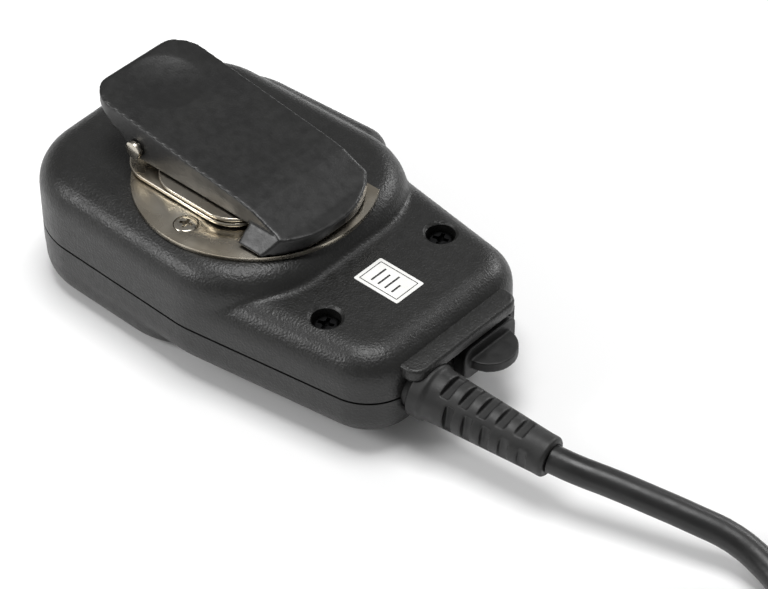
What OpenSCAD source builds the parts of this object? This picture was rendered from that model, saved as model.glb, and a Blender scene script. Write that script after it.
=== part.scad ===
// Hand microphone with a speaker, for a two-way radio. It lies on its front face.
// X runs along the body towards the cord, Y across it, and Z up from the front face.
// The origin is on the front face, under the axis that the belt clip swivels on.

/* [Body] */
// Height of the seam between the two shells
seam_z = 14; // [13:0.5:15]
// Height of the back face over the head
head_top = 29.6; // [29:0.2:30.4]
// Height of the back face at the cord end
tail_top = 24.6; // [24:0.1:25]
// How far the front face steps back at the cord end
tail_lift = 4.2; // [3:0.2:5]
// Wall thickness of both shells
wall = 2.2; // [1.8:0.1:2.4]
// Thickness of the seal between the two shells
seal_t = 0.5; // [0.4:0.1:0.6]
// Radius of the rounded edge round the back face
back_edge = 6.5; // [5:0.5:7]
// Radius of the rounded edge round the front face
front_edge = 5; // [4:0.5:6]

/* [Belt clip] */
// Radius of the steel plate that the clip turns on
plate_r = 25.5; // [24:0.5:26]
// Thickness of the steel plate
plate_t = 1; // [0.8:0.1:1.2]
// Height of the lever's top above the plate, over the swivel axis
clip_rise = 8.9; // [8.5:0.1:9.5]
// Fall of the lever's top towards the jaw, per unit of length
clip_fall = 0.134; // [0.12:0.002:0.14]
// Half the width of the lever
clip_half = 13.4; // [13:0.1:14]
// Place of the hinge pin along the body, behind the swivel axis
pin_x = -19.5; // [-20:0.5:-19]
// Height of the hinge pin above the plate
pin_rise = 5.4; // [5:0.1:5.8]
// Radius of the hinge pin
pin_r = 1.2; // [1:0.1:1.4]

/* [Talk button] */
// Length of the talk button
talk_len = 32; // [28:1:33]
// Height of the talk button
talk_h = 12; // [10:0.5:13]
// Travel of the talk button
talk_travel = 1.2; // [0.8:0.1:1.4]

/* [Speaker and microphone] */
// Radius of the speaker
speaker_r = 20; // [18:0.5:20]
// Place of the speaker's centre along the body
speaker_x = -16; // [-17:0.5:-15]
// Radius of the microphone capsule
capsule_r = 4.85; // [3:0.05:5]

/* [Cord end] */
// Diameter of the cord
cord_d = 5.8; // [5:0.2:6.4]
// Place of the cord's exit across the body
cord_y = -10.8; // [-11:0.1:-10]
// Place of the earphone jack across the body
jack_y = 6.5; // [6:0.5:7]
// Radius of the earphone jack's bore
jack_r = 1.8; // [1.75:0.05:1.85]
// Length of the strain relief outside the body
boot_len = 31; // [26:1:34]
// Radius of the middle of the stored coil's turns
coil_r = 29; // [28:0.5:30]

/* [Hidden] */
$fn = 64;
gap = 0.3;
thin = 0.05;
black = "#2b2b2a";
soft_black = "#1f1f1f";
steel = "#b9b6ae";

// Plan circles that the body's outline is drawn round: x, y, radius
head_end = [[-21.5, 0, 23.5], [-27, 11.8, 17.5], [-27, -11.8, 17.5]];
waist = [[6, 10, 20], [6, -10, 20]];
cord_end = [[43, 13.5, 11], [43, -13.5, 11]];
body_circles = concat(head_end, waist, cord_end);
// The bulge on the far side that houses the talk button
bulge_circles = [[2.5, 28.3, 6], [-22, 17, 16], [-5, 5, 15]];
// The deep head part of the front shell
head_circles = concat(head_end, [[-8, 11, 18.5], [-8, -11, 18.5]]);
bulge_drop = 3.2;

label_at = [37.1, -1];
label_size = [11.6, 8.1];

plate_z = head_top + plate_t;
end_x = 54;
inner_end = end_x - wall;
screw_spots = [[35, 17.1], [35, -17.1]];
screw_head_r = 2.75;
screw_seat = 21;
screw_shank_r = 1.3;
board_z = 16.5;
board_t = 1.2;
board_spots = [[-36, 15], [-36, -15], [18, 20], [18, -20]];

talk_x = -10;
talk_z = 14;
talk_face = 36;
talk_inner = 29.6;
plunger_z = 19.7;
plunger_r = 1.45;

// The clip sits a little to the near side of the swivel axis
clip_y = -1;
leaf_half = 16;
jaw_r = 21.7;
jaw_x = 12.3;
pin_z = plate_z + pin_rise;
lever_wall = 1.8;
ear_y = clip_half - lever_wall - 0.6;
tongue_z = plate_z + 0.4;
tongue_t = 0.9;
leaf_z = tongue_z + tongue_t + 0.4;
leaf_screw_y = 9.2;
dish_r = 8;
dish_depth = 0.8;
dish_ball = (dish_r * dish_r + dish_depth * dish_depth) / (2 * dish_depth);
// The dish is cut square to the lever's sloping top
dish_x = -24.6;
dish_rise = 1 / sqrt(1 + clip_fall * clip_fall);
dish_lean = clip_fall * dish_rise;
plate_screw_r = 20.2;
plate_screw_turns = [-90, 10, 170];
// The plate is cut off straight on the far side
plate_cut = 13.5;

jack_z = 13.7;
jack_nose_r = 3;
boot_turn = 6;
boot_dip = 4;
cord_z = 14;
boot_start = 54.2;
cord_r = cord_d / 2;

// The coil lies flat, its turns side by side in two layers: its centre in plan, and its section
coil_at = [161, 25.8];
coil_half = 8.7;
coil_h = 2 * cord_d;
tie_t = 0.6;
tie_w = 6;
tie_half = coil_half + 0.4;

// The stretch of cord from the strain relief to the coil
lead_route = [[85, -7.6, 11.8], [90, -6.6, 11.5], [97, -4.4, 10.8], [105, -2, 9.8], [113, 0.4, 8.6],
    [121, 2.6, 7], [128, 2.7, 5.2], [134.7, 0.9, 3.9], [140.8, -2.3, 3.2], [147, -5.7, 2.9],
    [154, -8.3, 2.9]];
// The stretch from the coil to the plug
tail_route = [[178.4, -4.3, 8.7], [187.1, 0.7, 8.5], [194.1, 4.7, 7.9], [200, 8.6, 7.2],
    [204.7, 13.1, 6.5], [208.1, 18.1, 5.9], [210.2, 23.4, 5.5], [210.8, 28.5, 5.4]];
tail_end = tail_route[len(tail_route) - 1];
plug_boot_len = 8;
plug_len = 16;
plug_pin_gap = 11.4;

// ---- shared shapes ----

// Rounded rim of one plan circle, above z = 0, for hulls
module rim(r, e) {
    rotate_extrude($fn = 32) intersection() {
        translate([r - e, 0]) circle(e, $fn = 20);
        square([r, e]);
    }
}

// The back half of the body inside a set of plan circles, inset by t
module back_form(circles, t, edge, top) {
    hull() for (c = circles) {
        translate([c[0], c[1], seam_z + seal_t / 2])
            cylinder(r = c[2] - t, h = top - edge - seam_z - seal_t / 2, $fn = 32);
        translate([c[0], c[1], top - edge]) rim(c[2] - t, edge - t);
    }
}

// The whole back half of the body, inset by t
module rear_form(t) {
    back_form(concat(head_end, waist), t, back_edge, head_top);
    back_form(concat(waist, cord_end), t, back_edge, tail_top);
    back_form(bulge_circles, t, back_edge - 1, head_top - bulge_drop);
}

// The front half of the body inside a set of plan circles, down to z = low
module front_form(circles, t, edge, low) {
    hull() for (c = circles) {
        translate([c[0], c[1], low + edge])
            cylinder(r = c[2] - t, h = seam_z - seal_t / 2 - low - edge, $fn = 32);
        translate([c[0], c[1], low + edge]) mirror([0, 0, 1]) rim(c[2] - t, edge - t);
    }
}

// Plan outline of the body, inset by t
module outline(circles, t) {
    hull() for (c = circles) translate([c[0], c[1]]) circle(c[2] - t, $fn = 32);
}

// Band in the seam, between two insets of the outline
module seam_band(t_out, t_in) {
    translate([0, 0, seam_z - seal_t / 2]) linear_extrude(seal_t) difference() {
        union() {
            outline(body_circles, t_out);
            outline(bulge_circles, t_out);
        }
        outline(body_circles, t_in);
        outline(bulge_circles, t_in);
    }
}

// Window for the talk button through the far side wall
module talk_window() {
    translate([talk_x - talk_len / 2 - gap, 26, talk_z - talk_h / 2 - gap])
        cube([talk_len + 2 * gap, 20, talk_h + 2 * gap]);
}

// Axis of the strain relief: local +Z runs out along the cord
module along_cord() {
    translate([boot_start, cord_y, cord_z]) rotate([0, 90 + boot_dip, boot_turn]) children();
}

// Cylinder along X
module rod_x(x0, x1, y, z, r) {
    translate([x0, y, z]) rotate([0, 90, 0]) cylinder(r = r, h = x1 - x0);
}

// Cylinder along Y
module rod_y(x, y0, y1, z, r) {
    translate([x, y0, z]) rotate([-90, 0, 0]) cylinder(r = r, h = y1 - y0);
}

// Cross recess of a screw head, cut down from z = 0
module cross_recess(size, depth) {
    for (a = [0, 90]) rotate([0, 0, a])
        translate([-size / 2, -size / 8, -depth]) cube([size, size / 4, depth + 1]);
}

// Stadium in plan: x from x0 to x1, y out to half, with corner radius r
module stadium(x0, x1, half, r, h) {
    linear_extrude(h) hull() for (x = [x0 + r, x1 - r], y = [r - half, half - r])
        translate([x, y]) circle(r, $fn = 48);
}

// ---- casing ----

module rear_shell() color(black) difference() {
    union() {
        difference() {
            union() {
                rear_form(0);
                // Round seat that holds the plate level at the waist
                translate([0, 0, tail_top - 1]) cylinder(r = plate_r - 1.5, h = head_top - tail_top + 1);
            }
            difference() {
                translate([0, 0, -thin]) rear_form(wall);
                for (s = screw_spots) translate([s[0], s[1], seam_z + 1]) cylinder(r = 4, h = 20);
            }
        }
        end_ridge();
    }
    for (s = screw_spots) translate([s[0], s[1], 0]) {
        translate([0, 0, screw_seat]) cylinder(r = 3.1, h = 10);
        cylinder(r = screw_shank_r, h = 30);
    }
    for (a = plate_screw_turns) rotate([0, 0, a]) translate([plate_screw_r, 0, head_top - 5])
        cylinder(r = 1.1, h = 10);
    translate([0, 0, head_top - 5]) cylinder(r = 3, h = 10);
    talk_window();
    end_openings();
}

// Raised band across the cord end, over the cord and the jack
module end_ridge() {
    difference() {
        translate([0, 0, 18.6]) linear_extrude(3) hull() for (y = [-12.5, 12.5])
            translate([54.5, y]) circle(3, $fn = 48);
        translate([inner_end - 9, -20, 18]) cube([9, 40, 5]);
    }
}

// Openings at the cord end: cord, jack nose and cap anchor
module end_openings() {
    along_cord() translate([0, 0, -6]) cylinder(r = 5.1, h = 12);
    along_cord() translate([0, 0, 0.2]) cylinder(r = 6.4, h = 8);
    rod_x(inner_end - 1, end_x + 1, jack_y, jack_z, jack_nose_r + 0.1);
    translate([inner_end - 1, 15.8, seam_z - 2.6]) cube([5, 1.4, 5.2]);
}

module front_shell() color(black) difference() {
    union() {
        difference() {
            union() {
                front_form(body_circles, 0, front_edge, tail_lift);
                front_form(head_circles, 0.15, front_edge + 1, 0);
                front_form(bulge_circles, 0, front_edge, tail_lift);
            }
            translate([0, 0, thin]) front_form(body_circles, wall, front_edge, tail_lift);
            translate([0, 0, thin]) front_form(head_circles, wall, front_edge + 1, 0);
            translate([0, 0, thin]) front_form(bulge_circles, wall, front_edge, tail_lift);
        }
        for (s = screw_spots) translate([s[0], s[1], tail_lift + 1])
            cylinder(r = 3.2, h = seam_z + 1 - tail_lift - 1);
        for (s = board_spots) translate([s[0], s[1], s[0] < 0 ? 1 : tail_lift + 1])
            cylinder(r = 2.4, h = board_z - (s[0] < 0 ? 1 : tail_lift + 1));
        speaker_ring();
    }
    for (s = screw_spots) translate([s[0], s[1], tail_lift + 2.5])
        cylinder(r = screw_shank_r, h = 12);
    for (s = board_spots) translate([s[0], s[1], board_z - 6]) cylinder(r = 0.9, h = 8);
    speaker_slots();
    translate([28, 0, 0]) cylinder(r = 0.8, h = 10);
    talk_window();
    end_openings();
}

// Wall inside the front shell that centres the speaker
module speaker_ring() {
    translate([speaker_x, 0, 1]) difference() {
        cylinder(r = speaker_r + 1.3, h = 5);
        translate([0, 0, -1]) cylinder(r = speaker_r + 0.1, h = 7);
    }
}

// Sound slots in the front face, either side of a plain middle bar
module speaker_slots() {
    for (i = [-3:3], side = [-1, 1]) {
        x = speaker_x + 4 * i;
        reach = sqrt(16 * 16 - 16 * i * i);
        translate([x - 0.6, side > 0 ? 2 : -2 - (reach - 2), -1]) cube([1.2, reach - 2, 5]);
    }
}

// The seal stops short of the talk button and of the openings at the cord end
module case_seal() color(soft_black) difference() {
    seam_band(0.5, 1.9);
    translate([talk_x - talk_len / 2 - 0.5, 20, 0]) cube([talk_len + 1, 30, 30]);
    translate([48, -19, 0]) cube([20, 37, 30]);
}

module case_screws() color(soft_black) for (s = screw_spots)
    translate([s[0], s[1], 0]) difference() {
        union() {
            translate([0, 0, tail_lift + 2.5]) cylinder(r = screw_shank_r, h = screw_seat - tail_lift - 2.5);
            translate([0, 0, screw_seat]) cylinder(r = screw_head_r, h = 1.8);
        }
        translate([0, 0, screw_seat + 1.8]) cross_recess(3, 1.1);
    }

module rating_label() color("white")
    translate([label_at[0] - label_size[0] / 2, label_at[1] - label_size[1] / 2, tail_top + 0.02])
        cube([label_size[0], label_size[1], 0.15]);

// ---- talk button ----

module talk_button() color(black) {
    translate([talk_x, 0, talk_z]) {
        hull() {
            talk_face_bar(talk_inner, talk_face - 1.5, 0);
            talk_face_bar(talk_face - 1.5, talk_face, 1.2);
        }
        // Flange behind the window's rim
        translate([-talk_len / 2 + 4, 28.2, -talk_h / 2 - 0.8]) cube([talk_len - 8, 1.4, talk_h + 1.6]);
    }
}

module talk_face_bar(y0, y1, t) {
    translate([0, y1, 0]) rotate([90, 0, 0]) linear_extrude(y1 - y0)
        hull() for (x = [-1, 1], z = [-1, 1])
            translate([x * (talk_len / 2 - 4), z * (talk_h / 2 - 4)]) circle(4 - t, $fn = 32);
}

module talk_switch() color("#303030") difference() {
    translate([talk_x - 3.5, 19.5, board_z + board_t]) cube([7, 7, 4.2]);
    rod_y(talk_x, 20.5, 30, plunger_z, 1.5);
}

module switch_plunger() color("#8a4b2a") rod_y(talk_x, 22, 28, plunger_z, plunger_r);

// ---- belt clip ----

module swivel_plate() color(steel) difference() {
    translate([0, 0, head_top]) cylinder(r = plate_r, h = plate_t, $fn = 96);
    for (a = plate_screw_turns) rotate([0, 0, a]) translate([plate_screw_r, 0, head_top - 1])
        cylinder(r = 2.65, h = plate_t + 2);
    translate([0, 0, head_top - 1]) cylinder(r = 3, h = plate_t + 2);
    translate([-plate_r - 1, plate_cut, head_top - 1]) cube([2 * plate_r + 2, plate_r, plate_t + 2]);
}

module plate_screws() color(steel) for (a = plate_screw_turns) rotate([0, 0, a])
    translate([plate_screw_r, 0, 0]) difference() {
        union() {
            translate([0, 0, head_top - 3.5]) cylinder(r = 1.1, h = 3.6);
            translate([0, 0, head_top]) cylinder(r = 2.65, h = plate_t);
        }
        translate([0, 0, plate_z]) cross_recess(2.6, 0.8);
    }

module swivel_rivet() color(steel) {
    translate([0, 0, head_top - 3.5]) cylinder(r = 3, h = 3.5 + plate_t + 3.1);
    translate([0, 0, leaf_z + tongue_t + 0.3]) cylinder(r = 5, h = 1);
}

// Lower leaf of the clip, with two ears that hold the hinge pin
module clip_tongue() color(steel) difference() {
    union() {
        translate([0, clip_y, tongue_z]) stadium(-24, 11, leaf_half, 8, tongue_t);
        for (y = [clip_y - ear_y, clip_y + ear_y - 1]) hull() {
            translate([pin_x, y, pin_z]) rotate([-90, 0, 0]) cylinder(r = 2.6, h = 1);
            translate([pin_x - 3.5, y, tongue_z]) cube([7, 1, tongue_t]);
        }
    }
    translate([0, 0, tongue_z - 1]) cylinder(r = 3.05, h = 4);
    for (side = [-1, 1]) translate([1, clip_y + side * leaf_screw_y, tongue_z - 1]) cylinder(r = 1, h = 4);
    rod_y(pin_x, -20, 20, pin_z, pin_r);
}

// Upper leaf, a spring plate
module spring_leaf() color(steel) difference() {
    translate([0, clip_y, leaf_z]) stadium(-15.5, 11, leaf_half, 8, tongue_t);
    translate([0, 0, leaf_z - 1]) cylinder(r = 3.05, h = 4);
    for (side = [-1, 1]) translate([1, clip_y + side * leaf_screw_y, leaf_z - 1]) cylinder(r = 1, h = 4);
}

module leaf_screws() color(steel) for (side = [-1, 1]) translate([1, clip_y + side * leaf_screw_y, 0]) {
    translate([0, 0, tongue_z]) cylinder(r = 1, h = leaf_z + tongue_t - tongue_z);
    translate([0, 0, leaf_z + tongue_t]) cylinder(r = 1.9, h = 0.9);
}

// Height of the lever's top above the plate
function lever_top(x) = clip_rise - clip_fall * x;

// Side view of the lever: x and height above the plate
module lever_side() {
    polygon([[-33.9, lever_top(-33.9) - 0.7], [-33.1, lever_top(-33.1)], [9, lever_top(9)], [13, 6.9],
        [17.5, 5], [21, 3.7], [24.6, 3.2], [24.6, 1.2], [23.9, 0.6], [jaw_x, 0.6], [12, 3], [-14, 3],
        [-16, 2.9], [-19.5, 2.9], [-22, 3.8], [-24, 6.5], [-27, 7.9], [-29, 9.7], [-33.3, 10.5]]);
}

// Height of the hollow under the lever's top
function lever_inside(x) = lever_top(x) - 2.4;

// Side view of the hollow under the lever
module lever_side_hollow() {
    polygon([[-26.4, 0], [-26.4, 8.6], [-24, lever_inside(-24)], [8, lever_inside(8)], [12, 4.9],
        [17, 3.1], [21.5, 1.5], [21.5, 0]]);
}

// Plan of the lever, inset by t: rounded at the thumb end, with a round front to the jaw
module lever_plan(t) {
    translate([0, 0, plate_z - 1]) linear_extrude(20) intersection() {
        hull() {
            for (side = [-1, 1]) translate([-26.9, clip_y + side * (clip_half - 7)]) circle(7 - t, $fn = 48);
            translate([3, clip_y - 1]) circle(jaw_r - t, $fn = 96);
        }
        translate([-40, clip_y - clip_half + t]) square([80, 2 * (clip_half - t)]);
    }
}

// The jaw's skirt spreads out towards the plate, on the near side
module jaw_skirt() {
    hull() {
        translate([0, 0, plate_z + 0.6]) jaw_slice(-3, -18.2, 13.4);
        translate([0, 0, plate_z + 4]) jaw_slice(clip_y - 1, clip_y - clip_half, clip_y + clip_half);
    }
}

// Thin slice of the jaw between two edges
module jaw_slice(y, y0, y1) {
    linear_extrude(thin) intersection() {
        translate([3, y]) circle(jaw_r, $fn = 96);
        translate([jaw_x, y0]) square([20, y1 - y0]);
    }
}

module clip_lever() color(soft_black) difference() {
    intersection() {
        translate([0, 30, plate_z]) rotate([90, 0, 0]) linear_extrude(60) lever_side();
        union() {
            lever_plan(0);
            jaw_skirt();
        }
    }
    intersection() {
        translate([0, 30, plate_z]) rotate([90, 0, 0]) linear_extrude(60) lever_side_hollow();
        lever_plan(lever_wall);
    }
    translate([dish_x + dish_lean * (dish_ball - dish_depth), clip_y,
        plate_z + lever_top(dish_x) + dish_rise * (dish_ball - dish_depth)]) sphere(r = dish_ball, $fn = 96);
    rod_y(pin_x, -20, 20, pin_z, pin_r + 0.05);
}

// Steel strip under the lever's top
module lever_core() color(steel) translate([0, clip_y, plate_z]) rotate([90, 0, 0])
    translate([0, 0, -9]) linear_extrude(18) polygon([[-23, lever_inside(-23) - 1],
        [-23, lever_inside(-23)], [7, lever_inside(7)], [7, lever_inside(7) - 1]]);

module hinge_pin() color(steel) translate([0, clip_y, 0]) {
    rod_y(pin_x, -clip_half - 0.4, clip_half + 0.4, pin_z, pin_r);
    rod_y(pin_x, clip_half + 0.4, clip_half + 1.4, pin_z, 2);
    rod_y(pin_x, -clip_half - 1.4, -clip_half - 0.4, pin_z, 2);
}

// Torsion spring round the pin, as a sleeve of its outer shape
module clip_spring() color(steel) translate([0, clip_y, 0]) difference() {
    rod_y(pin_x, -7, 7, pin_z, 2);
    rod_y(pin_x, -8, 8, pin_z, pin_r + 0.1);
}

// ---- speaker and microphone ----

module speaker_frame() color("#8d8d8d") translate([speaker_x, 0, 0]) rotate_extrude($fn = 72)
    polygon([[17.9, 3.2], [speaker_r, 3.2], [speaker_r, 4.2], [18.6, 4.2], [10, 8.8], [7, 8.8],
        [7, 8], [9.4, 8], [17.9, 3.9]]);

module speaker_magnet() color("#3a3a3c") translate([speaker_x, 0, 0]) difference() {
    translate([0, 0, 8.8]) cylinder(r = 9, h = 5);
    translate([0, 0, 8]) difference() {
        cylinder(r = 5.2, h = 3.8);
        cylinder(r = 4, h = 3.8);
    }
}

module speaker_cone() color("#26231f") translate([speaker_x, 0, 0]) rotate_extrude($fn = 72)
    polygon([[4.4, 7.2], [16.4, 3.6], [16.4, 4], [4.8, 7.6], [4.8, 10.6], [4.4, 10.6]]);

module speaker_gasket() color("#4a4a4a") translate([speaker_x, 0, 2.6]) difference() {
    cylinder(r = speaker_r, h = 0.6);
    translate([0, 0, -1]) cylinder(r = 17.9, h = 3);
}

module grille_cloth() color("#141414") translate([speaker_x, 0, wall + thin]) cylinder(r = 19, h = 0.35);

module mic_capsule() color("#c8c6c0") translate([28, 0, 7.6]) difference() {
    cylinder(r = capsule_r, h = 4.4);
    translate([0, 0, -1]) cylinder(r = 0.6, h = 2);
}

module mic_holder() color("#2a2a2a") translate([28, 0, tail_lift + wall + thin]) difference() {
    cylinder(r = capsule_r + 1.4, h = 4.6);
    translate([0, 0, 1.15]) cylinder(r = capsule_r, h = 6);
    translate([0, 0, -1]) cylinder(r = 0.8, h = 6);
}

// ---- electronics ----

module circuit_board() color("#1d5a35") difference() {
    translate([0, 0, board_z]) linear_extrude(board_t) difference() {
        outline(body_circles, 5);
        for (s = screw_spots) translate(s) circle(4.6);
        translate([42, -18]) square([20, 14]);
    }
    for (s = board_spots) translate([s[0], s[1], 0]) cylinder(r = 1.1, h = 40);
}

module board_parts() color("#1c1c1e") translate([0, 0, board_z + board_t]) {
    translate([12, -4, 0]) cube([8, 8, 1.6]);
    translate([26, 4, 0]) cube([5, 4, 1.4]);
    translate([-8, -14, 0]) cylinder(r = 2.5, h = 5);
    translate([0, -14, 0]) cylinder(r = 2.5, h = 5);
    for (x = [-20:6:-2]) translate([x, 8, 0]) cube([3, 1.6, 0.9]);
    for (y = [-8:4:8]) translate([38, y, 0]) cube([1.6, 2.6, 0.9]);
}

module board_screws() color(steel) for (s = board_spots) translate([s[0], s[1], 0]) difference() {
    union() {
        translate([0, 0, board_z - 5]) cylinder(r = 0.9, h = 5 + board_t);
        translate([0, 0, board_z + board_t]) cylinder(r = 1.9, h = 1.3);
    }
    translate([0, 0, board_z + board_t + 1.3]) cross_recess(2, 0.7);
}

module ear_jack() color("#202020") difference() {
    union() {
        translate([41.5, jack_y - 3.2, jack_z - 2.8]) cube([inner_end - 41.5, 6.4, 5.6]);
        rod_x(inner_end - 1, end_x, jack_y, jack_z, jack_nose_r);
    }
    rod_x(43, end_x + 1, jack_y, jack_z, jack_r);
}

// ---- cord end ----

// Rubber cap over the jack, with a pull tab
module jack_cap() color("#232323") difference() {
    union() {
        hull() for (y = [1, 12.2], z = [-1, 1]) rod_x(end_x + 0.4, 57.4, y, jack_z + z * 1.6, 2.2);
        translate([57, jack_y, jack_z - 1.1]) intersection() {
            cylinder(r = 6, h = 2.2);
            translate([-0.2, -10, 0]) cube([10, 20, 3]);
        }
    }
    rod_x(end_x, 55.6, jack_y, jack_z, 2.4);
}

// Rubber foot of the cap, held in the seam
module cap_anchor() color("#232323") {
    translate([inner_end - 0.9, 15.9, seam_z - 2.5]) cube([3.9, 1.2, 5]);
    translate([inner_end - 1.7, 15, seam_z - 3.2]) cube([0.8, 2, 6.4]);
}

// Strain relief: local Z runs out along the cord, from the outside of the end wall
module strain_relief() color("#1e1e1e") along_cord() difference() {
    union() {
        rotate_extrude() polygon([[cord_r, -5.8], [5.8, -5.8], [5.8, -4], [5, -4], [5, 0.4],
            [6.2, 0.6], [6.2, 3.4], [5.7, 4], [5.5, 6], [4.3, boot_len - 2.4], [4.3, boot_len - 0.5],
            [3.8, boot_len], [cord_r, boot_len]]);
    }
    for (i = [0:4], a = [0, 180]) {
        rotate([0, 0, a]) translate([3.7, -3.4, 6.6 + 4.2 * i]) cube([3, 6.8, 2]);
        rotate([0, 0, a + 90]) translate([3.7, -3.4, 8.7 + 4.2 * i]) cube([3, 6.8, 2]);
    }
}

// The part of the cord inside the strain relief and the body
module cord_core() color("#1b1b1b") along_cord() translate([0, 0, -10]) cylinder(r = cord_r, h = boot_len + 10);

module cord_clamp() color("#3c3c3c") along_cord() translate([0, 0, -9.6]) difference() {
    cylinder(r = cord_r + 1.2, h = 3.6);
    translate([0, 0, -1]) cylinder(r = cord_r, h = 6);
}

// Smooth curve through a route of points
function curve_point(p, i, u) = let (n = len(p) - 1, a = p[max(i - 1, 0)], b = p[i], c = p[min(i + 1, n)],
    d = p[min(i + 2, n)]) 0.5 * (2 * b + (c - a) * u + (2 * a - 5 * b + 4 * c - d) * u * u
    + (3 * b - a - 3 * c + d) * u * u * u);
function curve(p, steps) = concat([for (i = [0:len(p) - 2], k = [0:steps - 1]) curve_point(p, i, k / steps)],
    [p[len(p) - 1]]);
function unit(v) = v / norm(v);
function heading(c, i) = unit(c[min(i + 1, len(c) - 1)] - c[max(i - 1, 0)]);

// Round tube swept along a curve
module tube(c, r, sides) {
    rings = len(c);
    points = [for (i = [0:rings - 1]) let (t = heading(c, i), s = unit(cross([0, 0, 1], t)), u = cross(t, s))
        for (k = [0:sides - 1]) c[i] + r * (cos(360 * k / sides) * s + sin(360 * k / sides) * u)];
    walls = [for (i = [0:rings - 2], k = [0:sides - 1]) let (a = i * sides + k, b = i * sides + (k + 1) % sides)
        [a, b, b + sides, a + sides]];
    polyhedron(points, concat(walls, [[for (k = [sides - 1:-1:0]) k],
        [for (k = [0:sides - 1]) (rings - 1) * sides + k]]));
}

module cord_lead() color("#1b1b1b") tube(curve(lead_route, 1), cord_r, 10);

module cord_tail() color("#1b1b1b") tube(curve(tail_route, 1), cord_r, 10);

// Outer shape of the coil, with a groove under it for the tie
module cord_coil() color("#1b1b1b") translate([coil_at[0], coil_at[1], 0]) difference() {
    rotate_extrude($fn = 96) translate([coil_r - coil_half, 0]) square([2 * coil_half, coil_h]);
    translate([coil_r - coil_half - 1, -tie_w / 2 - gap, -1]) cube([2 * coil_half + 2, tie_w + 2 * gap, 1 + tie_t]);
}

// Strap round the turns, on the side away from the object
module coil_tie() color("#262626") translate([coil_at[0] + coil_r, coil_at[1] - tie_w / 2, 0]) difference() {
    translate([-tie_half - tie_t, 0, 0]) cube([2 * (tie_half + tie_t), tie_w, coil_h + 2 * tie_t]);
    translate([-tie_half, -1, tie_t]) cube([2 * tie_half, tie_w + 2, coil_h]);
}

// ---- plug ----

module at_plug() translate(tail_end) children();

module plug_boot() color("#1e1e1e") at_plug() rotate([-90, 0, 0]) difference() {
    cylinder(r1 = 4, r2 = 5, h = plug_boot_len);
    translate([0, 0, -1]) cylinder(r = cord_r, h = 5);
}

module plug_body() color("#202020") at_plug() translate([0, plug_boot_len, 0]) hull()
    for (x = [-8, 8], z = [-2.4, 2.4]) translate([x, 0, z]) rotate([-90, 0, 0])
        cylinder(r = 3, h = plug_len, $fn = 32);

// One pin of the plug, with a coned tip
module plug_pin(side, r, length) {
    at_plug() translate([side * plug_pin_gap / 2, plug_boot_len + plug_len, 0]) rotate([-90, 0, 0]) {
        cylinder(r = r, h = length);
        translate([0, 0, length]) cylinder(r1 = r, r2 = r / 2, h = 1.4);
    }
}

module plug_pin_large() color(steel) plug_pin(-1, 1.75, 10.6);

module plug_pin_small() color(steel) plug_pin(1, 1.25, 8.6);

rear_shell();
front_shell();
case_seal();
case_screws();
talk_button();
talk_switch();
switch_plunger();
swivel_plate();
plate_screws();
swivel_rivet();
clip_tongue();
spring_leaf();
leaf_screws();
clip_lever();
lever_core();
hinge_pin();
clip_spring();
rating_label();
speaker_frame();
speaker_magnet();
speaker_cone();
speaker_gasket();
grille_cloth();
mic_capsule();
mic_holder();
circuit_board();
board_parts();
board_screws();
ear_jack();
jack_cap();
cap_anchor();
strain_relief();
cord_clamp();
cord_core();
cord_lead();
cord_coil();
coil_tie();
cord_tail();
plug_boot();
plug_body();
plug_pin_large();
plug_pin_small();
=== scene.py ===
import math

import bpy
from mathutils import Euler, Matrix, Vector


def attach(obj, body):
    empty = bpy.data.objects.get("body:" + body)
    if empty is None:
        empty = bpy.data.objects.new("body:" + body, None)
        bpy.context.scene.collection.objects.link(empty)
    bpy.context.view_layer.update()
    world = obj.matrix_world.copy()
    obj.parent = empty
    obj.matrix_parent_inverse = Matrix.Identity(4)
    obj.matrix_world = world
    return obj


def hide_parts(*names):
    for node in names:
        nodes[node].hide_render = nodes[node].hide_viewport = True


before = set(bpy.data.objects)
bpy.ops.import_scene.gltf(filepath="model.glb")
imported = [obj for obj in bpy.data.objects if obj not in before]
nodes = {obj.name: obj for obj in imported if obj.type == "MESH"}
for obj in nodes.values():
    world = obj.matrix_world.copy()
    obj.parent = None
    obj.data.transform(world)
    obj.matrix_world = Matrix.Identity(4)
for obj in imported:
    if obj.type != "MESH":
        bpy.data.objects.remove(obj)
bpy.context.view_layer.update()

MM = 0.001

# ---------------------------------------------------------------- working with objects


def pick(obj):
    """Leaves one object selected and active."""
    bpy.ops.object.select_all(action="DESELECT")
    obj.select_set(True)
    bpy.context.view_layer.objects.active = obj


def settle(name):
    """Names the newest object and moves its place, turn and size into its mesh."""
    obj = bpy.context.object
    pick(obj)
    obj.name = name
    bpy.ops.object.transform_apply(location=True, rotation=True, scale=True)
    return obj


def rod(name, at, radius, length, axis=(0, 0, 1), tip=None, sides=64):
    """Round bar from a point along an axis, with another radius at its tip where one is given."""
    axis = Vector(axis).normalized()
    bpy.ops.object.select_all(action="DESELECT")
    bpy.ops.mesh.primitive_cone_add(vertices=sides, radius1=radius * MM,
                                    radius2=(radius if tip is None else tip) * MM, depth=length * MM,
                                    location=(Vector(at) + axis * length / 2) * MM,
                                    rotation=axis.to_track_quat("Z", "Y").to_euler())
    return settle(name)


def block(name, low, high):
    """Square block between two corners."""
    low, high = Vector(low), Vector(high)
    bpy.ops.object.select_all(action="DESELECT")
    bpy.ops.mesh.primitive_cube_add(size=1, location=(low + high) / 2 * MM, scale=(high - low) * MM)
    return settle(name)


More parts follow.
